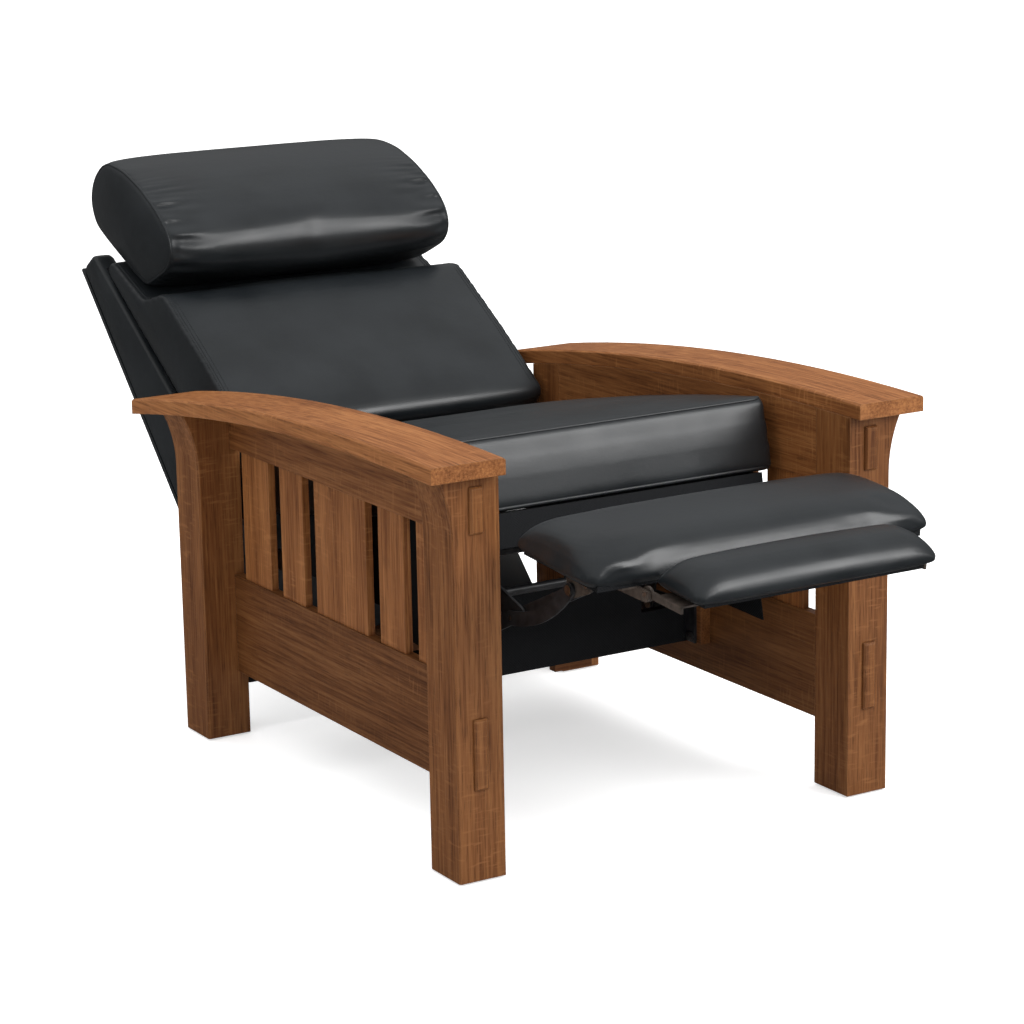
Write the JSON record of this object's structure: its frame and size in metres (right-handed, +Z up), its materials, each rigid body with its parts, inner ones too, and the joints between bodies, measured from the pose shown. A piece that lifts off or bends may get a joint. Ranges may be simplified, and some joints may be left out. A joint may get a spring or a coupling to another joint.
{
  "type": "reclining armchair",
  "caption": "Wooden reclining armchair with slatted sides, bowed flat arms, leather cushions, a head bolster and a folding two-pad footrest.",
  "frame": {"origin": "on the floor, at the middle of the whole chair's bounding box as it rests, leaned back with its footrest out", "axes": "+X to the sitter's left, +Y towards the back, +Z up"},
  "size_m": [0.864, 1.8377, 0.9156],
  "materials": {
    "stained_oak": "satin lacquer over a warm brown stain",
    "frame_wood": "plain sawn, unfinished",
    "black_leather": "semi-gloss, fine grain",
    "black_fabric": "matt plain weave",
    "dark_steel": "satin black",
    "bright_steel": "zinc plated",
    "glide_plastic": "matt"
  },
  "bodies": {
    "base": {"front_leg_left": "stained_oak", "front_leg_right": "stained_oak", "rear_leg_left": "stained_oak", "rear_leg_right": "stained_oak", "lower_side_rail_left": "stained_oak", "lower_side_rail_right": "stained_oak", "upper_side_rail_left": "stained_oak", "upper_side_rail_right": "stained_oak", "narrow_slats_left": "stained_oak", "narrow_slats_right": "stained_oak", "wide_slat_left": "stained_oak", "wide_slat_right": "stained_oak", "arm_board_left": "stained_oak", "arm_board_right": "stained_oak", "tenon_ends": "stained_oak", "leg_glides": "glide_plastic", "base_cleats": "frame_wood", "base_plates": "dark_steel", "base_bolts": "bright_steel", "base_studs": "bright_steel", "base_front_panel": "black_fabric", "base_rear_rail": "frame_wood", "base_panel_block": "frame_wood", "corner_brackets": "dark_steel"},
    "front_swing": {"front_swing_links": "dark_steel"},
    "rear_swing": {"rear_swing_links": "dark_steel"},
    "seat": {"seat_side_rails": "frame_wood", "seat_front_rail": "black_fabric", "seat_rear_rail": "frame_wood", "seat_springs": "bright_steel", "spring_clips": "bright_steel", "seat_cushion": "black_leather", "carriage_plates": "dark_steel", "carriage_front_tube": "dark_steel", "carriage_rear_tube": "dark_steel", "carriage_pins": "bright_steel"},
    "footrest_drive": {"footrest_drive_links": "dark_steel", "footrest_drive_tube": "dark_steel", "knee_rivets": "bright_steel"},
    "footrest_lift": {"footrest_lift_links": "dark_steel", "elbow_rivets": "bright_steel"},
    "footrest_long": {"footrest_long_links": "dark_steel", "long_link_rivets": "bright_steel"},
    "footrest_guide": {"footrest_guide_links": "dark_steel"},
    "footrest_main": {"footrest_pad": "black_leather", "footrest_board": "black_fabric", "footrest_brackets": "dark_steel", "bracket_rivets": "bright_steel"},
    "footrest_flipper": {"flipper_pad": "black_leather", "flipper_board": "black_fabric", "flipper_brackets": "dark_steel"},
    "back": {"back_side_panels": "black_fabric", "back_top_rail": "frame_wood", "back_bottom_rail": "frame_wood", "back_webbing": "black_fabric", "back_outer_panel": "black_fabric", "back_arms": "dark_steel", "back_cushion": "black_leather", "head_pillow": "black_leather"}
  },
  "joints": [
    {"name": "seat_swing", "type": "hinge", "parent": "base", "child": "front_swing", "pos_m": [0, -0.07614, 0.20999], "axis": [1, 0, 0], "range_deg": [0, 48]},
    {"name": "seat_tilt", "type": "hinge", "parent": "front_swing", "child": "seat", "pos_m": [0, -0.09982, 0.35], "axis": [1, 0, 0], "range_deg": [-40.4, 0]},
    {"name": "rear_swing", "type": "hinge", "parent": "base", "child": "rear_swing", "pos_m": [0, 0.15116, 0.20492], "axis": [1, 0, 0], "range_deg": [0, 53.34]},
    {"name": "back_recline", "type": "hinge", "parent": "seat", "child": "back", "pos_m": [0, 0.17018, 0.312], "axis": [1, 0, 0], "range_deg": [0, 30.4]},
    {"name": "footrest_fold", "type": "hinge", "parent": "seat", "child": "footrest_drive", "pos_m": [0, -0.24942, 0.3878], "axis": [1, 0, 0], "range_deg": [0, 114.4]},
    {"name": "lift_fold", "type": "hinge", "parent": "seat", "child": "footrest_lift", "pos_m": [0, -0.29852, 0.41122], "axis": [1, 0, 0], "range_deg": [0, 114.4]},
    {"name": "long_link_knee", "type": "hinge", "parent": "footrest_drive", "child": "footrest_long", "pos_m": [0, -0.396, 0.32467], "axis": [1, 0, 0], "range_deg": [-114.4, 0]},
    {"name": "guide_elbow", "type": "hinge", "parent": "footrest_lift", "child": "footrest_guide", "pos_m": [0, -0.46629, 0.35768], "axis": [1, 0, 0], "range_deg": [-110.4, 0]},
    {"name": "pad_fold", "type": "hinge", "parent": "footrest_long", "child": "footrest_main", "pos_m": [0, -0.61046, 0.42696], "axis": [1, 0, 0], "range_deg": [0, 78.1]},
    {"name": "flipper_fold", "type": "hinge", "parent": "footrest_main", "child": "footrest_flipper", "pos_m": [0, -0.79776, 0.46131], "axis": [1, 0, 0], "range_deg": [0, 180]}
  ],
  "couplings": [
    {"joint": "seat_tilt", "follows": "seat_swing", "ratio": -0.84167},
    {"joint": "rear_swing", "follows": "seat_swing", "ratio": 1.1111},
    {"joint": "back_recline", "follows": "seat_swing", "ratio": 0.63333},
    {"joint": "lift_fold", "follows": "footrest_fold", "ratio": 1},
    {"joint": "long_link_knee", "follows": "footrest_fold", "ratio": -1},
    {"joint": "guide_elbow", "follows": "footrest_fold", "ratio": -0.96503},
    {"joint": "pad_fold", "follows": "footrest_fold", "ratio": 0.68269},
    {"joint": "flipper_fold", "follows": "footrest_fold", "ratio": 1.5734}
  ]
}
